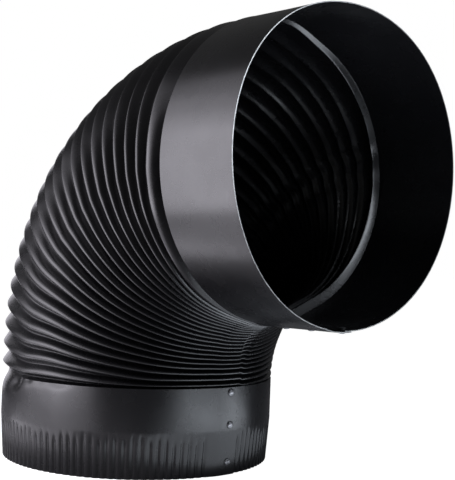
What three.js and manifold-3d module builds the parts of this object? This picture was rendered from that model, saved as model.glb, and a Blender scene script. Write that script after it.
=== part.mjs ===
// Pleated sheet-steel flue elbow, 90 degrees, 8 inch nominal, in millimetres with +Z up.
// The elbow stands on its crimped end and turns towards +X, where its plain end opens.
// It is one rolled sheet, lapped and riveted along the inside of the bend. The sheet is held as
// six solids that meet end to end: crimped collar, four runs of pleats and plain collar.

import * as THREE from 'three';
import { mergeVertices } from 'three/addons/utils/BufferGeometryUtils.js';
import Module from 'manifold-3d';

const wasm = await Module();
wasm.setup();

// Driving dimensions.
const boreRadius = 101.6; // the plain end takes an 8 inch pipe
const sheet = 0.61; // 24 gauge steel
const tubeRadius = boreRadius + sheet;
const bendRadius = 148.5; // centre line of the bend
const bendAngle = Math.PI / 2;
const crimpedLength = 61;
const plainLength = 63.5;

// Pleats. Between crests at the tube's radius the sheet folds inward, deepest on the inside of the
// bend, where the shorter way round has the least room for the sheet.
const pleatCount = 21;
const pleatTurn = THREE.MathUtils.degToRad(4.15); // from one crest to the next
const firstCrest = THREE.MathUtils.degToRad(2.4);
const firstFold = THREE.MathUtils.degToRad(0.9);
const pleatSheet = 19.5; // length of sheet gathered in one pleat
const foldShare = 0.7; // depth of a rounded fold as a share of a sharp one
const heelSwell = 3.8; // how far the outside of the bend stands out halfway round
const heelFrom = [70, 125].map(THREE.MathUtils.degToRad); // where that swell sets in
const bendSides = 40;
const runNames = ['lower_pleats', 'lower_middle_pleats', 'upper_middle_pleats', 'upper_pleats'];

// Crimps, which shrink the lower end so that it slides into the next pipe.
const crimpCount = 104;
const crimpLength = 30;
const crimpTaper = 2.2;
const crimpDepth = 1.0;
const plainStrip = THREE.MathUtils.degToRad(9); // uncrimped sheet beside the lap

// Lap seam and its rivets.
const seamAngle = THREE.MathUtils.degToRad(2); // measured from the inside of the bend
const lapWidth = 15;
const lapHalf = lapWidth / 2 / tubeRadius;
const lapClearance = 0.15;
const joggle = THREE.MathUtils.degToRad(8);
const rivetHeadRadius = 2.7;
const rivetHeadHeight = 1.5;
const rivetShankRadius = 1.6;
const rivetTailRadius = 2.4;
const rivetTailHeight = 0.9;
const rivetHeights = [9, 35, 57.5]; // from the open end of each collar

// The solids of the sheet and the rivets stay this far apart.
const fitGap = 0.3;

const blackSheet = { color: 0x0b0c0e, roughness: 0.34, metalness: 0.6 };
const rivetSteel = { color: 0x2a2b2d, roughness: 0.3, metalness: 0.8 };

function polar(radius, angle, height) {
  return new THREE.Vector3(radius * Math.cos(angle), radius * Math.sin(angle), height);
}

// A closed solid between an outer and an inner grid of points. Rows run along the tube and
// columns run round it. A grid that wraps is a whole tube, and one that doesn't is a lapped sheet.
function sheetSolid(outer, inner, wraps) {
  const rows = outer.length;
  const columns = outer[0].length;
  const points = [...outer.flat(), ...inner.flat()];
  const outside = (row, column) => row * columns + (column % columns);
  const inside = (row, column) => rows * columns + outside(row, column);
  const index = [];
  const quad = (a, b, c, d) => index.push(a, b, c, a, c, d);
  const spans = wraps ? columns : columns - 1;
  const top = rows - 1;
  for (let j = 0; j < spans; j++) {
    for (let i = 0; i < top; i++) {
      quad(outside(i, j), outside(i, j + 1), outside(i + 1, j + 1), outside(i + 1, j));
      quad(inside(i, j), inside(i + 1, j), inside(i + 1, j + 1), inside(i, j + 1));
    }
    quad(outside(0, j), inside(0, j), inside(0, j + 1), outside(0, j + 1));
    quad(outside(top, j), outside(top, j + 1), inside(top, j + 1), inside(top, j));
  }
  const last = columns - 1;
  for (let i = 0; i < top && !wraps; i++) {
    quad(outside(i, 0), outside(i + 1, 0), inside(i + 1, 0), inside(i, 0));
    quad(outside(i, last), inside(i, last), inside(i + 1, last), outside(i + 1, last));
  }
  const geometry = new THREE.BufferGeometry().setFromPoints(points);
  geometry.setIndex(index);
  geometry.computeVertexNormals();
  return geometry;
}

// Manifold solids and back, for cutting the rivet holes.
function toSolid(geometry) {
  const bare = geometry.clone();
  bare.deleteAttribute('normal');
  bare.deleteAttribute('uv');
  const merged = mergeVertices(bare);
  const vertProperties = new Float32Array(merged.attributes.position.array);
  const triVerts = new Uint32Array(merged.index.array);
  return new wasm.Manifold(new wasm.Mesh({ numProp: 3, vertProperties, triVerts }));
}

function toGeometry(solid) {
  const { vertProperties, triVerts } = solid.getMesh();
  const geometry = new THREE.BufferGeometry();
  geometry.setAttribute('position', new THREE.BufferAttribute(vertProperties, 3));
  geometry.setIndex(new THREE.BufferAttribute(triVerts, 1));
  geometry.computeVertexNormals();
  return geometry;
}

// How far the sheet stands out at an angle, where its end climbs over its own beginning.
function lapLift(angle) {
  const climbEnd = seamAngle - lapHalf + 2 * Math.PI;
  const share = THREE.MathUtils.clamp((angle - climbEnd + joggle) / joggle, 0, 1);
  return share * (sheet + lapClearance);
}

// The angles of the columns of a lapped sheet: the lap, the plain way round, and the lap again.
function lappedAngles(between) {
  const start = seamAngle - lapHalf;
  const lap = [start, seamAngle, seamAngle + lapHalf];
  const climb = start + 2 * Math.PI - joggle;
  const overLap = lap.map((angle) => angle + 2 * Math.PI);
  return [...lap, ...between(seamAngle + lapHalf, climb), climb, ...overLap];
}

function lappedCollar(angles, heights, radiusAt) {
  const surface = (depth) => heights.map((height) => angles.map((angle) =>
    polar(radiusAt(angle, height) + lapLift(angle) - depth, angle, height)));
  return sheetSolid(surface(0), surface(sheet), false);
}

// Crimped collar: local +Z runs from the open end towards the bend.
function crimpShare(height) {
  return THREE.MathUtils.clamp(1 - height / crimpLength, 0, 1);
}

function crimpedRadius(angle, height, isCrest) {
  const groove = isCrest ? 0 : crimpDepth;
  return tubeRadius - crimpShare(height) * (crimpTaper + groove);
}

function crimpedCollar() {
  const grooves = new Set();
  const angles = lappedAngles((from, to) => {
    const end = to - plainStrip + joggle;
    const steps = 2 * crimpCount;
    const between = [];
    for (let k = 1; k <= steps; k++) {
      const angle = from + (k / steps) * (end - from);
      between.push(angle);
      if (k % 2 === 1) grooves.add(angle);
    }
    return between.filter((angle) => angle < to);
  });
  const heights = [0, crimpLength, crimpedLength - fitGap / 2];
  const radiusAt = (angle, height) => crimpedRadius(angle, height, !grooves.has(angle));
  return lappedCollar(angles, heights, radiusAt);
}

// Plain collar: local +Z runs from the bend to the open end.
function plainCollar() {
  const quarter = Math.PI / 2;
  const sidesPerQuarter = 10;
  const angles = lappedAngles((from, to) => {
    const between = [];
    for (let k = 1; k < 4 * sidesPerQuarter; k++) {
      between.push((k * quarter) / sidesPerQuarter);
    }
    return between.filter((angle) => angle > from && angle < to);
  });
  return lappedCollar(angles, [fitGap / 2, plainLength], () => tubeRadius);
}

// Pleated bend. Angles round the tube start at the inside of the bend.
function pleatPitch(angle) {
  return (bendRadius - tubeRadius * Math.cos(angle)) * pleatTurn;
}

function pleatDepth(angle) {
  const half = pleatPitch(angle) / 2;
  return foldShare * Math.sqrt((pleatSheet / 2) ** 2 - half ** 2);
}

// The crests' radius, which swells a little on the outside of the bend.
function crestRadius(turn, angle) {
  const away = Math.abs(Math.atan2(Math.sin(angle), Math.cos(angle)));
  const heel = THREE.MathUtils.smoothstep(away, heelFrom[0], heelFrom[1]);
  return tubeRadius + heelSwell * heel * Math.sin((turn / bendAngle) * Math.PI);
}

// The wall's thickness along the radius, for a flank that slopes.
function wallAcross(angle) {
  const slope = (2 * pleatDepth(angle)) / pleatPitch(angle);
  return sheet * Math.hypot(1, slope);
}

function bendPoint(turn, angle, radius) {
  const section = polar(radius, angle, 0);
  section.x -= bendRadius;
  section.applyAxisAngle(new THREE.Vector3(0, 1, 0), turn);
  section.x += bendRadius;
  section.z += crimpedLength;
  return section;
}

// Every row of the bend, from collar to collar: its turn, and what it is.
function bendRows() {
  const rows = [{ turn: 0, kind: 'edge' }, { turn: firstFold, kind: 'fold' }];
  for (let k = 0; k < pleatCount; k++) {
    const turn = firstCrest + k * pleatTurn;
    rows.push({ turn, kind: 'crest' }, { turn: turn + pleatTurn / 2, kind: 'fold' });
  }
  rows.push({ turn: bendAngle, kind: 'edge' });
  return rows;
}

function rowRadius(turn, kind, angle) {
  return crestRadius(turn, angle) - (kind === 'fold' ? pleatDepth(angle) : 0);
}

// A run of rows as one solid. Its two ends draw back by half the gap to the next run.
function pleatRun(rows) {
  const outer = [];
  const inner = [];
  rows.forEach(({ turn, kind }, row) => {
    const ends = { 0: fitGap / 2, [rows.length - 1]: -fitGap / 2 };
    const along = new THREE.Vector3(Math.sin(turn), 0, Math.cos(turn)).multiplyScalar(ends[row] ?? 0);
    const ring = (wall) => Array.from({ length: bendSides }, (_, side) => {
      const angle = (side / bendSides) * 2 * Math.PI;
      return bendPoint(turn, angle, rowRadius(turn, kind, angle) - wall * wallAcross(angle)).add(along);
    });
    outer.push(ring(0));
    inner.push(ring(1));
  });
  return sheetSolid(outer, inner, true);
}

function pleatRuns() {
  const rows = bendRows();
  const perRun = (rows.length - 1) / runNames.length;
  return runNames.map((name, run) => {
    const geometry = pleatRun(rows.slice(run * perRun, (run + 1) * perRun + 1));
    return { name, geometry };
  });
}

// A rivet turned about its own axis: head outside the lap, shank through it, tail inside.
function rivet() {
  const grip = 2 * sheet + lapClearance + 2 * fitGap;
  const domeSteps = 4;
  const profile = [
    new THREE.Vector2(0, -grip - rivetTailHeight),
    new THREE.Vector2(rivetTailRadius * 0.8, -grip - rivetTailHeight),
    new THREE.Vector2(rivetTailRadius, -grip),
    new THREE.Vector2(rivetShankRadius, -grip),
    new THREE.Vector2(rivetShankRadius, 0),
  ];
  for (let k = 0; k <= domeSteps; k++) {
    const t = (k / domeSteps) * (Math.PI / 2);
    const across = k === domeSteps ? 0 : rivetHeadRadius * Math.cos(t);
    profile.push(new THREE.Vector2(across, rivetHeadHeight * Math.sin(t)));
  }
  return new THREE.LatheGeometry(profile, 12);
}

// The lap's outer surface at a height, and how far it leans inward there.
function lapSeat(height, crimped) {
  const taper = crimped ? crimpTaper : 0;
  const share = crimped ? crimpShare(height) : 0;
  const lean = share > 0 ? Math.atan(taper / crimpLength) : 0;
  return { radius: tubeRadius + sheet + lapClearance - share * taper, lean };
}

function placeOnSeam(object, height, crimped) {
  const { radius, lean } = lapSeat(height, crimped);
  object.position.copy(polar(radius, seamAngle, height));
  object.rotation.set(0, 0, seamAngle - Math.PI / 2);
  object.rotateX(-lean);
  object.updateMatrix();
}

function cutRivetHoles(geometry, heights, crimped) {
  let solid = toSolid(geometry);
  for (const height of heights) {
    const drill = new THREE.Object3D();
    placeOnSeam(drill, height, crimped);
    const bit = new THREE.CylinderGeometry(rivetShankRadius + fitGap, rivetShankRadius + fitGap, 6, 12);
    bit.applyMatrix4(drill.matrix);
    solid = solid.subtract(toSolid(bit));
  }
  return toGeometry(solid);
}

function addMesh(group, name, geometry, finish) {
  const mesh = new THREE.Mesh(geometry, new THREE.MeshStandardMaterial(finish));
  mesh.name = name;
  group.add(mesh);
  return mesh;
}

function addCollar(group, name, geometry, rivetName, heights, crimped) {
  addMesh(group, name, cutRivetHoles(geometry, heights, crimped), blackSheet);
  heights.forEach((height, k) => {
    const mesh = addMesh(group, `${rivetName}_${k + 1}`, rivet(), rivetSteel);
    placeOnSeam(mesh, height, crimped);
    mesh.translateY(fitGap);
  });
}

const elbow = new THREE.Group();

const lowerEnd = new THREE.Group();
addCollar(lowerEnd, 'crimped_collar', crimpedCollar(), 'crimped_end_rivet', rivetHeights, true);
elbow.add(lowerEnd);

for (const { name, geometry } of pleatRuns()) addMesh(elbow, name, geometry, blackSheet);

const mouthEnd = new THREE.Group();
mouthEnd.position.copy(bendPoint(bendAngle, 0, 0));
mouthEnd.rotation.y = bendAngle;
const plainHeights = rivetHeights.map((height) => plainLength - height);
addCollar(mouthEnd, 'plain_collar', plainCollar(), 'plain_end_rivet', plainHeights, false);
elbow.add(mouthEnd);

// The origin is the centre of the bounding box, on the surface that the elbow stands on.
const reach = bendRadius + plainLength;
elbow.position.x = (tubeRadius - reach) / 2;

export default elbow;
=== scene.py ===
# Looks of a pleated black sheet-steel flue elbow, in metres with +Z up and angles in radians.
# The elbow stands on its crimped end and turns towards +X, where its plain mouth opens.
# One lapped sheet is made as six solids that share one surface: the crimped collar, four runs of
# pleats and the plain collar. Six rivets hold the lap.

import math

import bmesh
import bpy
import numpy as np
from mathutils import Matrix, Vector


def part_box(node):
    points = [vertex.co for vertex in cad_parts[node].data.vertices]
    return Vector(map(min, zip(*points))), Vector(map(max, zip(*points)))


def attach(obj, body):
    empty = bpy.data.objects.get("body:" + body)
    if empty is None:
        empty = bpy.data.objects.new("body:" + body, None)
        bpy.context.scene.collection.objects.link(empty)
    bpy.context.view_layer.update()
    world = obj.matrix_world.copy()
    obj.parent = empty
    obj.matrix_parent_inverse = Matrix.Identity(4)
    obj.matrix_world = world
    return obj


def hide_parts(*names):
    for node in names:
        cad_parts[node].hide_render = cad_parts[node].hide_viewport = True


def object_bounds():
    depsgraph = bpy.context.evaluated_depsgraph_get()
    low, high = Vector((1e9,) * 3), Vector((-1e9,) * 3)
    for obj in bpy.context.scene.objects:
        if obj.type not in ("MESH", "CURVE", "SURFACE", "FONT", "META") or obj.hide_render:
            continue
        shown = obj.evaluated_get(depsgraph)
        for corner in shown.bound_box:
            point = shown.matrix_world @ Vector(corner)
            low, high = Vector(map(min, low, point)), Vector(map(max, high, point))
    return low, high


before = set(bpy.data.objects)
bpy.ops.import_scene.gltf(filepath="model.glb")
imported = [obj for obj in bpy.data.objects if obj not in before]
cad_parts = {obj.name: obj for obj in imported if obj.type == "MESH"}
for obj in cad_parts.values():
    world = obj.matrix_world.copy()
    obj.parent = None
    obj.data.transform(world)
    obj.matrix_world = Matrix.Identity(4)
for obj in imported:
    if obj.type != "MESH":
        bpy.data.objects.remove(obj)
cad_low, cad_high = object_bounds()

MM = 0.001


def turned(degrees):
    """Radians."""
    return math.radians(degrees)


# Sizes that the frame gives.
foot_low, foot_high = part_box("crimped_collar")
mouth_low, mouth_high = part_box("plain_collar")
tube_radius = (foot_high.y - foot_low.y) / 2
axis_x = foot_low.x + tube_radius
bend_start = round(foot_high.z, 3)  # the nodes stand 0.15 mm back from where they meet
mouth_height = mouth_high.z - tube_radius  # the mouth's centre line
bend_radius = mouth_height - bend_start
plain_length = mouth_high.x - axis_x - bend_radius
sheet = 0.61 * MM

# Pleats. A place along the bend is a pleat number: crest k is at k, the fold after it at k + 0.5.
pleat_count = 21
first_pleat, last_pleat = -1.0, 21.0  # the two collars' edges
run_borders = [first_pleat, 4.5, 10, 15.5, last_pleat]
run_names = ["lower_pleats", "lower_middle_pleats", "upper_middle_pleats", "upper_pleats"]
pleat_turn = turned(4.15)
first_crest, first_fold = turned(2.4), turned(0.9)
last_fold = turned(89.4)
pleat_sheet = 19.5 * MM  # sheet gathered in one pleat
fold_share = 0.7  # depth of a rounded fold as a share of a sharp one
fold_rounding = 0.2  # rounding of a fold's tip as a share of half a pleat
heel_rounding_cut = 0.5  # share of that rounding that the heel lacks
collar_rounding = 0.09  # the same for the folds next to the two collars
crest_roundness = 2.3  # power of the curve from a crest to a fold; 1 is a straight flank
throat_roundness, far_side_roundness, heel_sharpness = 0.8, 0.9, 1.15  # added, added and taken off
far_side_shallow = 0.3  # how much shallower the folds are on the far side
heel_fold_from = [turned(86), turned(112)]  # where the heel's sharper folds set in
heel_swell = 3.8 * MM  # how far the outside of the bend stands out halfway round
heel_from = [turned(70), turned(125)]  # where that swell sets in
flat_depth = 4.2 * MM  # how much the far side is pressed in at the end of the bend
gather_turn = turned(1.2)  # how far the pleats on both sides crowd towards mid-bend

# Lap seam, measured from the inside of the bend.
seam_angle = turned(2)
lap_half = 7.5 * MM / tube_radius
lap_lift = sheet + 0.15 * MM
joggle = turned(7)
lap_slant = turned(5)  # how far the lap's outer edge strays round the tube midway
LAP_COLUMNS = 8

# Crimps.
crimp_pitch = turned(3.2)
crimp_length = 31 * MM
crimp_taper = 2.2 * MM
crimp_depth = 1.0 * MM
plain_strip = turned(9)  # uncrimped sheet beside the lap
crimp_run_out = 9 * MM  # length over which a crimp fades into the plain sheet

# Edge of the crimped collar that is pulled in at the heel.
shoulder_depth = 4.2 * MM
dent_depth = 2.2 * MM

# Columns of the meshes, without those in the lap.
PLEAT_COLUMNS = 503
PLAIN_COLUMNS = 720
CRIMP_COLUMNS_PER_PITCH = 8


# ---------------------------------------------------------------- camera

def add_camera():
    """Low three-quarter view into the mouth, held with a slight roll."""
    azimuth, elevation, roll = turned(48.1), turned(-1.54), turned(2.09)
    distance, lens = 0.6834, 73.12
    centre = (cad_low + cad_high) / 2
    aim = centre + Vector((42.5, 0, 7.7)) * MM
    back = Vector((
        math.sin(azimuth) * math.cos(elevation),
        -math.cos(azimuth) * math.cos(elevation),
        math.sin(elevation),
    ))
    level_right = Vector((math.cos(azimuth), math.sin(azimuth), 0))
    right = Matrix.Rotation(roll, 3, back) @ level_right
    up = back.cross(right)
    data = bpy.data.cameras.new("camera")
    data.lens, data.sensor_width = lens, 36
    camera = bpy.data.objects.new("camera", data)
    bpy.context.scene.collection.objects.link(camera)
    facing = Matrix((right, up, back)).transposed().to_4x4()
    camera.matrix_world = Matrix.Translation(aim + back * distance) @ facing
    bpy.context.scene.camera = camera


add_camera()


# ---------------------------------------------------------------- the sheet's surface

def smooth_step(value, low, high):
    """Rises from 0 at the lower limit to 1 at the upper."""
    share = np.clip((value - low) / (high - low), 0, 1)
    return share * share * (3 - 2 * share)


def bump(value, centre, width):
    """A smooth hill of height one."""
    return np.exp(-(((value - centre) / width) ** 2))


def wrapped(angle):
    """The same angle between minus and plus half a turn."""
    return np.arctan2(np.sin(angle), np.cos(angle))


def crest_drift(pleat, angle):
    """How far round the bend the pleats shift: at the throat, at the lap and at the kinks.

    The sums are in degrees, both round the tube and along the bend."""
    around = np.degrees(wrapped(angle))
    midway = smooth_step(pleat, -0.5, 3.5) * smooth_step(-pleat, -18.5, -14.5)
    rise = 2.3 * bump(around, 0, 22) * midway - 0.5 * bump(around, -48, 20)
    low_end, high_end = bump(pleat, 1, 1.2), smooth_step(pleat, 16.5, 18.5)
    bunching = 0.7 * bump(pleat, 12, 3) - 1.0 * low_end - 1.4 * high_end
    rise = rise + bunching * bump(around, -34, 12)
    step_down = -1.3 * smooth_step(around, 6.5, 9) * bump(around, 6, 40)
    outer_kink = -0.15 * bump(around, -90, 7)
    outer_kink = outer_kink - 0.15 * bump(around, -86, 3) * smooth_step(pleat, 6, 10)
    inner_kink = 0.3 * np.sin(np.radians((around - 97) * 360 / 13)) * bump(around, 101, 9)
    return np.radians(rise + step_down + outer_kink + inner_kink)


def side_gather(pleat, turn, angle):
    """On both sides of the tube the pleats crowd towards the middle of the bend."""
    away = np.abs(wrapped(angle))
    strength = gather_turn * smooth_step(away, turned(12), turned(45))
    strength = strength * smooth_step(-away, -turned(94), -turned(70))
    at_start = smooth_step(pleat, first_pleat, first_pleat + 2.2)
    at_end = smooth_step(-pleat, -last_pleat, -last_pleat + 1)
    return strength * np.cos(2 * turn) * at_start * at_end


def turn_at(pleat, angle):
    """Turn of the bend at a pleat number."""
    last_crest = first_crest + (pleat_count - 1) * pleat_turn
    places = [first_pleat, first_pleat + 0.5, 0, pleat_count - 1, pleat_count - 0.5, last_pleat]
    turns = [0, first_fold, first_crest, last_crest, last_fold, math.pi / 2]
    even_turn = np.interp(pleat, places, turns)
    share = np.interp(pleat, places, [0, 0.5, 1, 1, 0.5, 0])
    return even_turn + share * crest_drift(pleat, angle) + side_gather(pleat, even_turn, angle)


def pleat_depth(angle):
    half_pitch = (bend_radius - tube_radius * np.cos(angle)) * pleat_turn / 2
    return fold_share * np.sqrt((pleat_sheet / 2) ** 2 - half_pitch ** 2)


def fold_curve(pleat, angle):
    """A fold's depth as a share of its deepest: 0 on a crest and 1 at the bottom of a fold."""
    away = np.abs(wrapped(angle))
    heel = smooth_step(away, *heel_fold_from)
    at_collar = (pleat < first_pleat + 0.5) | (pleat > last_pleat - 0.5)
    tip = np.where(at_collar, collar_rounding, fold_rounding * (1 - heel_rounding_cut * heel))
    off_crest = 2 * np.abs(pleat - np.round(pleat))
    off_crest = 1 - (np.hypot(1 - off_crest, tip) - tip) / (np.hypot(1, tip) - tip)
    roundness = crest_roundness + throat_roundness * smooth_step(-away, -turned(80), -turned(15))
    roundness = roundness - heel_sharpness * heel
    roundness = roundness + far_side_roundness * smooth_step(np.sin(angle), 0, 0.6)
    return off_crest ** np.where(at_collar, 1.0, roundness)


def pleat_fall(pleat, angle):
    """How far the sheet folds inward from the crests on the bend."""
    unevenness = 1 + 0.05 * np.sin(1.7 * pleat + 2.1 * angle) + 0.04 * np.sin(2.9 * pleat - 3 * angle)
    below_last_fold = smooth_step(-pleat, 0.5 - last_pleat, 1.5 - last_pleat)
    far_side = 1 - far_side_shallow * smooth_step(np.sin(angle), 0.1, 0.8) * below_last_fold
    on_bend = (pleat > first_pleat) & (pleat < last_pleat)
    fall = pleat_depth(angle) * far_side * fold_curve(pleat, angle) * unevenness
    return np.where(on_bend, fall, 0)


def crest_radius(turn, angle):
    """The crests' radius, which swells a little on the outside of the bend."""
    heel = smooth_step(np.abs(wrapped(angle)), *heel_from)
    return tube_radius + heel_swell * heel * np.sin(2 * turn)


def flattening(turn, beyond, angle):
    """One side of the tube is pressed flatter towards the end of the bend."""
    side = smooth_step(np.sin(angle), 0, 0.4)
    along = smooth_step(turn, turned(25), turned(70)) * smooth_step(-beyond, -0.8 * plain_length, 0)
    return flat_depth * side * along * np.cos(angle) ** 2


def crimp_fall(height, base_angle):
    """Taper and grooves of the crimped end. The base angle runs from lap edge to lap edge."""
    taper = crimp_taper * np.clip(1 - height / crimp_length, 0, 1)
    first = seam_angle + lap_half
    last = seam_angle - lap_half + 2 * math.pi - plain_strip + joggle / 2
    count = round((last - first) / crimp_pitch)
    along = np.clip((base_angle - first) / (last - first), 0, 1)
    uneven = 0.10 * np.sin(21 * along * math.pi) + 0.08 * np.sin(57 * along * math.pi)
    wave = 0.5 - 0.5 * np.cos(2 * math.pi * (along * count + uneven * np.sin(math.pi * along)))
    reach = crimp_length * (1 + 0.05 * np.sin(37 * base_angle))
    grooved = smooth_step(reach - height, 0, crimp_run_out)
    return taper + crimp_depth * grooved * wave ** 2.2


def shoulder_fall(below, angle):
    """The crimped collar's upper edge is pulled in at the heel, with a dent and a wavy border."""
    around = np.degrees(wrapped(angle))
    around = np.where(around > 40, around - 360, around)
    pulled = smooth_step(-around, 86, 96) * smooth_step(around, -262, -225)
    waves = 0.5 * bump(around, -86, 3) + 0.25 * bump(around, -79, 3) + 0.3 * bump(around, -70, 5)
    reach = (2.2 + 3.2 * pulled) * MM
    rounding = shoulder_depth * (pulled + 0.8 * waves) * np.exp(-(below / reach) ** 1.5)
    dent = dent_depth * bump(around, -98, 4) * bump(below, 5 * MM, 3.5 * MM)
    return rounding + dent


def lap_rise(base_angle):
    """The outer end of the sheet climbs over its own beginning."""
    climb_end = seam_angle - lap_half + 2 * math.pi
    return lap_lift * smooth_step(base_angle, climb_end - joggle, climb_end)


def mouth_swell(reach, angle):
    """The plain end is a little out of round: waves round the mouth, height and one high point."""
    waves = [(2, 1.0 * MM, turned(108)), (3, 0.85 * MM, turned(-8)), (4, 0.6 * MM, turned(50))]
    swell = sum(height * np.cos(n * (angle - high)) for n, height, high in waves)
    return swell * smooth_step(reach, -0.3 * plain_length, plain_length)


def strayed(base_angle, turn):
    """Angle round the tube, with the sheet's outer edge astray in the middle of the bend."""
    near_end = smooth_step(base_angle, 2 * math.pi - turned(30), 2 * math.pi)
    slant = lap_slant * smooth_step(turn, 0, turned(60)) * smooth_step(turn, -turned(90), 0)
    return base_angle - slant * near_end


def surface(pleat, base_angle, wall):
    """Points of the sheet, the wall's depth inside its outer face.

    Pleat numbers below the first run down the crimped collar and above the last run out along
    the plain collar. There they count metres."""
    below = np.clip(first_pleat - pleat, 0, None)
    beyond = np.clip(pleat - last_pleat, 0, None)
    on_bend = np.clip(pleat, first_pleat, last_pleat)
    turn = turn_at(on_bend, base_angle)
    angle = strayed(base_angle, turn)
    radius = crest_radius(turn, angle) + lap_rise(base_angle) - wall - pleat_fall(on_bend, angle)
    height = bend_start - below
    radius = radius - np.where(below > 0, crimp_fall(height, base_angle), 0)
    by_shoulder = 1 - np.clip(2 * (on_bend - first_pleat), 0, 1)
    shoulder = np.where(on_bend < first_pleat + 0.5, shoulder_fall(below, angle), 0)
    radius = radius - shoulder * by_shoulder
    radius = radius + np.where(beyond > 0, mouth_swell(beyond, angle), 0)
    radius = radius - flattening(turn, beyond, angle)
    inward = bend_radius - radius * np.cos(angle)
    x = axis_x + bend_radius - inward * np.cos(turn) + beyond * np.sin(turn)
    y = radius * np.sin(angle) + 0 * turn
    z = bend_start + inward * np.sin(turn) - below
    return np.stack(np.broadcast_arrays(x, y, z), -1)


def surface_normals(pleat, base_angle, wall):
    step, swing = 1e-3, 1e-4
    small = np.where((pleat < first_pleat) | (pleat > last_pleat), 1e-5, step)
    along = surface(pleat + small, base_angle, wall) - surface(pleat - small, base_angle, wall)
    round_it = surface(pleat, base_angle + swing, wall) - surface(pleat, base_angle - swing, wall)
    normal = np.cross(round_it, along)
    return normal / np.linalg.norm(normal, axis=-1, keepdims=True)


# ---------------------------------------------------------------- meshes

def border_strip(edge_out, edge_in):
    """Quads that close the wall between an outer and an inner edge."""
    return np.stack([edge_out[:-1], edge_in[:-1], edge_in[1:], edge_out[1:]], -1)


def sheet_quads(rows, columns):
    """Quads of both faces of a sheet, then those of its four edges, and the number of the former."""
    out = np.arange(rows * columns).reshape(rows, columns)
    inn = out + rows * columns
    outside = np.stack([out[:-1, :-1], out[:-1, 1:], out[1:, 1:], out[1:, :-1]], -1).reshape(-1, 4)
    inside = np.stack([inn[:-1, :-1], inn[1:, :-1], inn[1:, 1:], inn[:-1, 1:]], -1).reshape(-1, 4)
    strips = [
        border_strip(out[0], inn[0]),
        border_strip(inn[-1], out[-1]),
        border_strip(inn[:, 0], out[:, 0]),
        border_strip(out[:, -1], inn[:, -1]),
    ]
    return np.concatenate([outside, inside, *strips]), len(outside) + len(inside)


def flat_normals(points, quads):
    across = points[quads[:, 2]] - points[quads[:, 0]]
    normals = np.cross(across, points[quads[:, 3]] - points[quads[:, 1]])
    return normals / np.maximum(np.linalg.norm(normals, axis=1, keepdims=True), 1e-15)


def sheet_mesh(name, pleats, angles, bare_rows=()):
    """A closed solid of sheet between rows of pleat numbers, with its true normals."""
    pleat, base_angle = np.array(pleats)[:, None], np.array(angles)[None, :]
    quads, face_count = sheet_quads(len(pleats), len(angles))
    grids = [surface(pleat, base_angle, wall) for wall in (0, sheet)]
    points = np.concatenate([grid.reshape(-1, 3) for grid in grids])
    mesh = bpy.data.meshes.new(name)
    mesh.from_pydata(points.tolist(), [], quads.tolist())
    slopes = [surface_normals(pleat, base_angle, wall) * side for wall, side in ((0, 1), (sheet, -1))]
    smooth = np.concatenate([slope.reshape(-1, 3) for slope in slopes])
    corner_normals = smooth[quads]
    corner_normals[face_count:] = flat_normals(points, quads[face_count:])[:, None, :]
    mesh.shade_smooth()
    mesh.normals_split_custom_set(corner_normals.reshape(-1, 3).tolist())
    bare = np.zeros(len(quads), np.int32)
    spans = len(angles) - 1
    if "first" in bare_rows:
        bare[face_count:face_count + spans] = 1
    if "last" in bare_rows:
        bare[face_count + spans:face_count + 2 * spans] = 1
    mesh.polygons.foreach_set("material_index", bare)
    return mesh


def add_piece(name, mesh, materials, nodes):
    piece = bpy.data.objects.new(name, mesh)
    bpy.context.scene.collection.objects.link(piece)
    for material in materials:
        mesh.materials.append(material)
    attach(piece, "root")
    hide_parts(*nodes)
    return piece


def lap_columns(between):
    """Angles of the columns from the sheet's inner edge, once round, to its outer edge."""
    start, end = seam_angle - lap_half, seam_angle + lap_half
    return np.concatenate([
        np.linspace(start, end, LAP_COLUMNS, endpoint=False),
        np.linspace(end, start + 2 * math.pi, between, endpoint=False),
        np.linspace(start + 2 * math.pi, end + 2 * math.pi, LAP_COLUMNS + 1),
    ])


def pleat_rows(start, end):
    """Pleat numbers of a run's rows, closer together at the crests and the folds."""
    half = np.array([0, 0.06, 0.16, 0.32, 0.52, 0.74, 0.88, 0.955]) / 2
    rows = []
    for k in range(round(2 * start), round(2 * end)):
        is_crest = k % 2 == 0
        rows.extend(k / 2 + (half if is_crest else 0.5 - np.append(half, 0.5)[:0:-1]))
    return rows + [end]


# ---------------------------------------------------------------- materials

def new_material(name):
    """A material with its nodes, its links and its main shader."""
    material = bpy.data.materials.new(name)
    material.use_nodes = True
    nodes, links = material.node_tree.nodes, material.node_tree.links
    return material, nodes, links, nodes["Principled BSDF"]


def noise(nodes, links, scale, detail=3.0):
    """Noise that is fixed to the piece. A larger scale makes it finer."""
    place = nodes.new("ShaderNodeTexCoord")
    texture = nodes.new("ShaderNodeTexNoise")
    texture.inputs["Scale"].default_value = scale
    texture.inputs["Detail"].default_value = detail
    links.new(place.outputs["Object"], texture.inputs["Vector"])
    return texture.outputs["Fac"]


def ramp(nodes, links, value, low, high):
    """A value that the noise moves between two limits."""
    spread = nodes.new("ShaderNodeMapRange")
    spread.inputs["From Min"].default_value = 0.35
    spread.inputs["From Max"].default_value = 0.65
    spread.inputs["To Min"].default_value = low
    spread.inputs["To Max"].default_value = high
    links.new(value, spread.inputs["Value"])
    return spread.outputs["Result"]


def tint(nodes, links, value, dark, light):
    """A colour that the noise moves between two limits."""
    colours = nodes.new("ShaderNodeValToRGB")
    colours.color_ramp.elements[0].position = 0.35
    colours.color_ramp.elements[1].position = 0.65
    colours.color_ramp.elements[0].color = (*dark, 1)
    colours.color_ramp.elements[1].color = (*light, 1)
    links.new(value, colours.inputs["Fac"])
    return colours.outputs["Color"]


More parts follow.
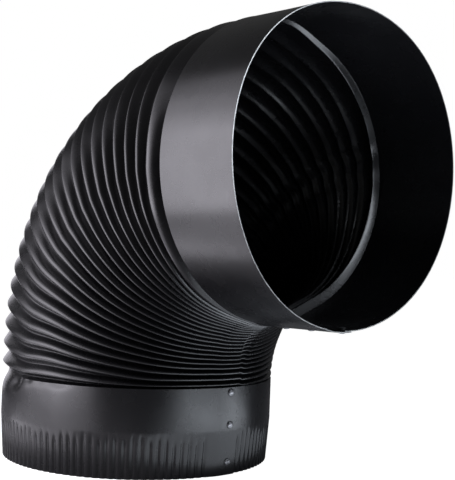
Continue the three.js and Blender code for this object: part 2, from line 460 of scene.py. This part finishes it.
def black_sheet():
    """Satin black stove paint with a faint orange peel."""
    material, nodes, links, shader = new_material("black_sheet")
    cloud = noise(nodes, links, 18)
    links.new(tint(nodes, links, cloud, (0.0048, 0.0047, 0.0054), (0.0062, 0.0061, 0.0069)),
              shader.inputs["Base Color"])
    links.new(ramp(nodes, links, noise(nodes, links, 60), 0.25, 0.29), shader.inputs["Roughness"])
    peel = nodes.new("ShaderNodeBump")
    peel.inputs["Strength"].default_value = 0.05
    peel.inputs["Distance"].default_value = 0.0002
    links.new(noise(nodes, links, 1400, 2), peel.inputs["Height"])
    links.new(peel.outputs["Normal"], shader.inputs["Normal"])
    return material


def cut_steel():
    """Bare sheet where it was cut, at both rims."""
    material, nodes, links, shader = new_material("cut_steel")
    links.new(tint(nodes, links, noise(nodes, links, 300), (0.28, 0.28, 0.28), (0.45, 0.45, 0.44)),
              shader.inputs["Base Color"])
    shader.inputs["Metallic"].default_value = 0.9
    shader.inputs["Roughness"].default_value = 0.45
    return material


def rivet_steel():
    """Steel of the rivet heads, worn bright."""
    material, nodes, links, shader = new_material("rivet_steel")
    links.new(tint(nodes, links, noise(nodes, links, 500), (0.12, 0.12, 0.125), (0.24, 0.24, 0.25)),
              shader.inputs["Base Color"])
    shader.inputs["Metallic"].default_value = 0.8
    links.new(ramp(nodes, links, noise(nodes, links, 900), 0.25, 0.4), shader.inputs["Roughness"])
    return material


# ---------------------------------------------------------------- pieces of the elbow

paint, cut_edge, rivet_finish = black_sheet(), cut_steel(), rivet_steel()


def add_crimped_collar():
    """Its rows are closest together at the crimps and at its pulled-in upper edge."""
    lengths = np.concatenate([
        np.linspace(0, 32, 17),
        np.linspace(34, 50, 7),
        [52, 53.5, 55, 56, 57, 58, 59, 59.5, 60, 60.5, 61],
    ]) * MM
    pleats = first_pleat - (bend_start - lengths * bend_start / lengths[-1])
    turns = round((2 * math.pi - 2 * lap_half) / crimp_pitch)
    angles = lap_columns(turns * CRIMP_COLUMNS_PER_PITCH)
    mesh = sheet_mesh("crimped_collar_sheet", pleats, angles, bare_rows=("first",))
    add_piece("crimped_collar_sheet", mesh, (paint, cut_edge), ["crimped_collar"])


def add_pleats():
    angles = lap_columns(PLEAT_COLUMNS)
    for name, start, end in zip(run_names, run_borders, run_borders[1:]):
        mesh = sheet_mesh(name + "_sheet", pleat_rows(start, end), angles)
        add_piece(name + "_sheet", mesh, (paint,), [name])


def add_plain_collar():
    """Its rows are closest together where it leaves the bend."""
    shares = [0, 0.01, 0.02, 0.04, 0.07, 0.1, 0.15, 0.2, 0.3, 0.4, 0.5, 0.6, 0.7, 0.8, 0.9, 1]
    pleats = [last_pleat + share * plain_length for share in shares]
    angles = lap_columns(PLAIN_COLUMNS)
    mesh = sheet_mesh("plain_collar_sheet", pleats, angles, bare_rows=("last",))
    add_piece("plain_collar_sheet", mesh, (paint, cut_edge), ["plain_collar"])


def join_doubles(mesh):
    """Joins the rings of points that the profile's ends on the axis make."""
    joined = bmesh.new()
    joined.from_mesh(mesh)
    bmesh.ops.remove_doubles(joined, verts=joined.verts, dist=1e-6)
    joined.to_mesh(mesh)
    joined.free()


def rivet_profile():
    """Radius and height from the foot of the tail to the top of the head."""
    head_radius, head_height, brim = 2.75 * MM, 1.5 * MM, 0.25 * MM
    shank_radius, tail_radius, tail_height, grip = 1.6 * MM, 2.4 * MM, 0.8 * MM, 1.9 * MM
    profile = [(0, -grip - tail_height), (tail_radius * 0.7, -grip - tail_height)]
    profile += [(tail_radius, -grip - tail_height / 2), (tail_radius * 0.95, -grip)]
    profile += [(shank_radius, -grip), (shank_radius, 0), (head_radius, 0), (head_radius, brim)]
    dome_steps = 12
    for k in range(1, dome_steps + 1):
        t = k / dome_steps * math.pi / 2
        profile.append((head_radius * math.cos(t), brim + (head_height - brim) * math.sin(t)))
    return profile


def rivet_mesh(name):
    """A domed head, a shank through the lap and a flattened tail, turned about local +Z."""
    profile, sides = rivet_profile(), 48
    points, faces = [], []
    for radius, height in profile:
        for side in range(sides):
            a = side / sides * 2 * math.pi
            points.append((radius * math.cos(a), radius * math.sin(a), height))
    for i in range(len(profile) - 1):
        for side in range(sides):
            here, there = i * sides + side, i * sides + (side + 1) % sides
            faces.append((here, there, there + sides, here + sides))
    mesh = bpy.data.meshes.new(name)
    mesh.from_pydata(points, [], faces)
    join_doubles(mesh)
    mesh.shade_smooth()
    mesh.set_sharp_from_angle(angle=turned(50))
    return mesh


def crimped_end_seat(height):
    """Where a rivet of the crimped end sits on the lap, and which way it faces."""
    outward = Vector((math.cos(seam_angle), math.sin(seam_angle), 0))
    taper = max(0, 1 - height / crimp_length)
    outward.z = -taper * crimp_taper / crimp_length
    outward.normalize()
    radius = tube_radius + lap_lift - taper * crimp_taper
    x, y = axis_x + radius * math.cos(seam_angle), radius * math.sin(seam_angle)
    return Vector((x, y, height)), outward


def plain_end_seat(x):
    """The same for the plain end, whose lap is on its underside."""
    outward = Vector((0, math.sin(seam_angle), -math.cos(seam_angle)))
    swell = float(mouth_swell(x - axis_x - bend_radius, seam_angle))
    return Vector((x, 0, mouth_height)) + outward * (tube_radius + lap_lift + swell), outward


def add_rivets():
    for end in ("crimped_end", "plain_end"):
        for number in (1, 2, 3):
            node = f"{end}_rivet_{number}"
            low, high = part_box(node)
            centre = (low + high) / 2
            at_crimps = end == "crimped_end"
            seat, outward = crimped_end_seat(centre.z) if at_crimps else plain_end_seat(centre.x)
            mesh = rivet_mesh(f"{node}_head")
            facing = Vector((0, 0, 1)).rotation_difference(outward).to_matrix().to_4x4()
            mesh.transform(Matrix.Translation(seat) @ facing)
            add_piece(f"{node}_head", mesh, (rivet_finish,), [node])


add_crimped_collar()
add_pleats()
add_plain_collar()
add_rivets()


# ---------------------------------------------------------------- floor, light and surroundings

def add_floor():
    """A pale floor that is seen as white all over, while the elbow mirrors it as it is lit."""
    material, nodes, links, shader = new_material("floor")
    shader.inputs["Base Color"].default_value = (0.45, 0.45, 0.45, 1)
    shader.inputs["Roughness"].default_value = 0.9
    shader.inputs["Specular IOR Level"].default_value = 0
    shader.inputs["Emission Color"].default_value = (1, 1, 1, 1)
    path = nodes.new("ShaderNodeLightPath")
    links.new(path.outputs["Is Camera Ray"], shader.inputs["Emission Strength"])
    mesh = bpy.data.meshes.new("floor")
    half = 40.0
    corners = [(-half, -half, 0), (half, -half, 0), (half, half, 0), (-half, half, 0)]
    mesh.from_pydata(corners, [], [(0, 1, 2, 3)])
    mesh.materials.append(material)
    floor = bpy.data.objects.new("floor", mesh)
    bpy.context.scene.collection.objects.link(floor)


def add_light(name, place, facing, size, radiance, colour, turn=0.0):
    """A soft area light at a place, facing a point, then turned about the vertical."""
    width, height = size
    data = bpy.data.lights.new(name, "AREA")
    data.shape, data.size, data.size_y = "RECTANGLE", width, height
    data.energy = radiance * math.pi * width * height
    data.color = colour
    light = bpy.data.objects.new(name, data)
    bpy.context.scene.collection.objects.link(light)
    facing_turn = (Vector(facing) - Vector(place)).to_track_quat("-Z", "Y").to_matrix().to_4x4()
    light.matrix_world = Matrix.Translation(place) @ Matrix.Rotation(turn, 4, "Z") @ facing_turn
    light.visible_camera = False


def add_upright_light(name, foot, facing, layers, colour):
    """A tall softbox in layers, with its foot on the floor.

    The layers stand a little apart, so that their light adds up."""
    layer_gap = 4 * MM
    ahead = Vector((*facing, 0)).normalized()
    sideways = Vector((ahead.y, -ahead.x, 0))
    for number, (along, height, size, radiance) in enumerate(layers, 1):
        place = Vector((*foot, height)) + sideways * along + ahead * number * layer_gap
        add_light(f"{name}_{number}", place, place + ahead, size, radiance, colour)


def add_lights():
    """A soft-edged box and a dim wall at the left, a small box at the right, and the lit table.

    A layer's values are its shift sideways, the height of its middle, its size and its radiance."""
    pink_white, blue_white = (1.03, 1.0, 1.10), (0.93, 1.0, 1.10)
    add_upright_light("left_softbox", (-0.10, -0.38), (0.13, 0.33), [
        (-0.10, 0.33, (0.60, 0.64), 0.5),
        (-0.05, 0.26, (0.40, 0.48), 1.0),
        (-0.07, 0.21, (0.28, 0.38), 2.0),
        (-0.05, 0.18, (0.12, 0.32), 1.9),
        (0.09, 0.05, (0.24, 0.08), 3.2),
        (-0.10, 0.52, (0.40, 0.26), 0.6),
    ], pink_white)
    add_upright_light("back_wall", (-0.55, 0.12), (0.9, -0.2), [(0, 0.25, (0.30, 0.50), 1.2)], pink_white)
    add_upright_light("right_softbox", (0.39, 0.21), (-0.36, -0.23), [
        (-0.12, 0.30, (0.17, 0.15), 8.5),
    ], blue_white)
    for name, x, y, size, turn, radiance, colour in (
        ("table_left", -0.07, -0.2675, (0.30, 0.125), 0, 1.1, pink_white),
        ("table_near_left", -0.12, -0.17, (0.24, 0.06), 0, 2.0, pink_white),
        ("table_front", 0.06, -0.17, (0.14, 0.14), 30, 0.3, pink_white),
        ("table_right", 0.14, 0.02, (0.16, 0.22), 0, 1.35, blue_white),
        ("table_far_right", 0.29, 0.12, (0.36, 0.22), 115, 5.6, blue_white),
    ):
        add_light(name, (x, y, 2 * MM), (x, y, 1), size, radiance, colour, turned(turn))


def add_surroundings():
    """A white studio that the black paint mirrors only dimly."""
    world = bpy.data.worlds.new("studio")
    bpy.context.scene.world = world
    world.use_nodes = True
    nodes, links = world.node_tree.nodes, world.node_tree.links
    nodes.clear()
    path = nodes.new("ShaderNodeLightPath")
    output = nodes.new("ShaderNodeOutputWorld")
    shades = {}
    for name, strength in (("seen", 1.0), ("diffuse", 0.03), ("mirrored", 0.08)):
        shades[name] = nodes.new("ShaderNodeBackground")
        shades[name].inputs["Strength"].default_value = strength
        shades[name].inputs["Color"].default_value = (1, 1, 1, 1)
    indirect, every = nodes.new("ShaderNodeMixShader"), nodes.new("ShaderNodeMixShader")
    links.new(path.outputs["Is Glossy Ray"], indirect.inputs["Fac"])
    links.new(shades["diffuse"].outputs[0], indirect.inputs[1])
    links.new(shades["mirrored"].outputs[0], indirect.inputs[2])
    links.new(path.outputs["Is Camera Ray"], every.inputs["Fac"])
    links.new(indirect.outputs[0], every.inputs[1])
    links.new(shades["seen"].outputs[0], every.inputs[2])
    links.new(every.outputs[0], output.inputs["Surface"])


add_floor()
add_surroundings()
add_lights()
bpy.context.scene.view_settings.view_transform = "Standard"
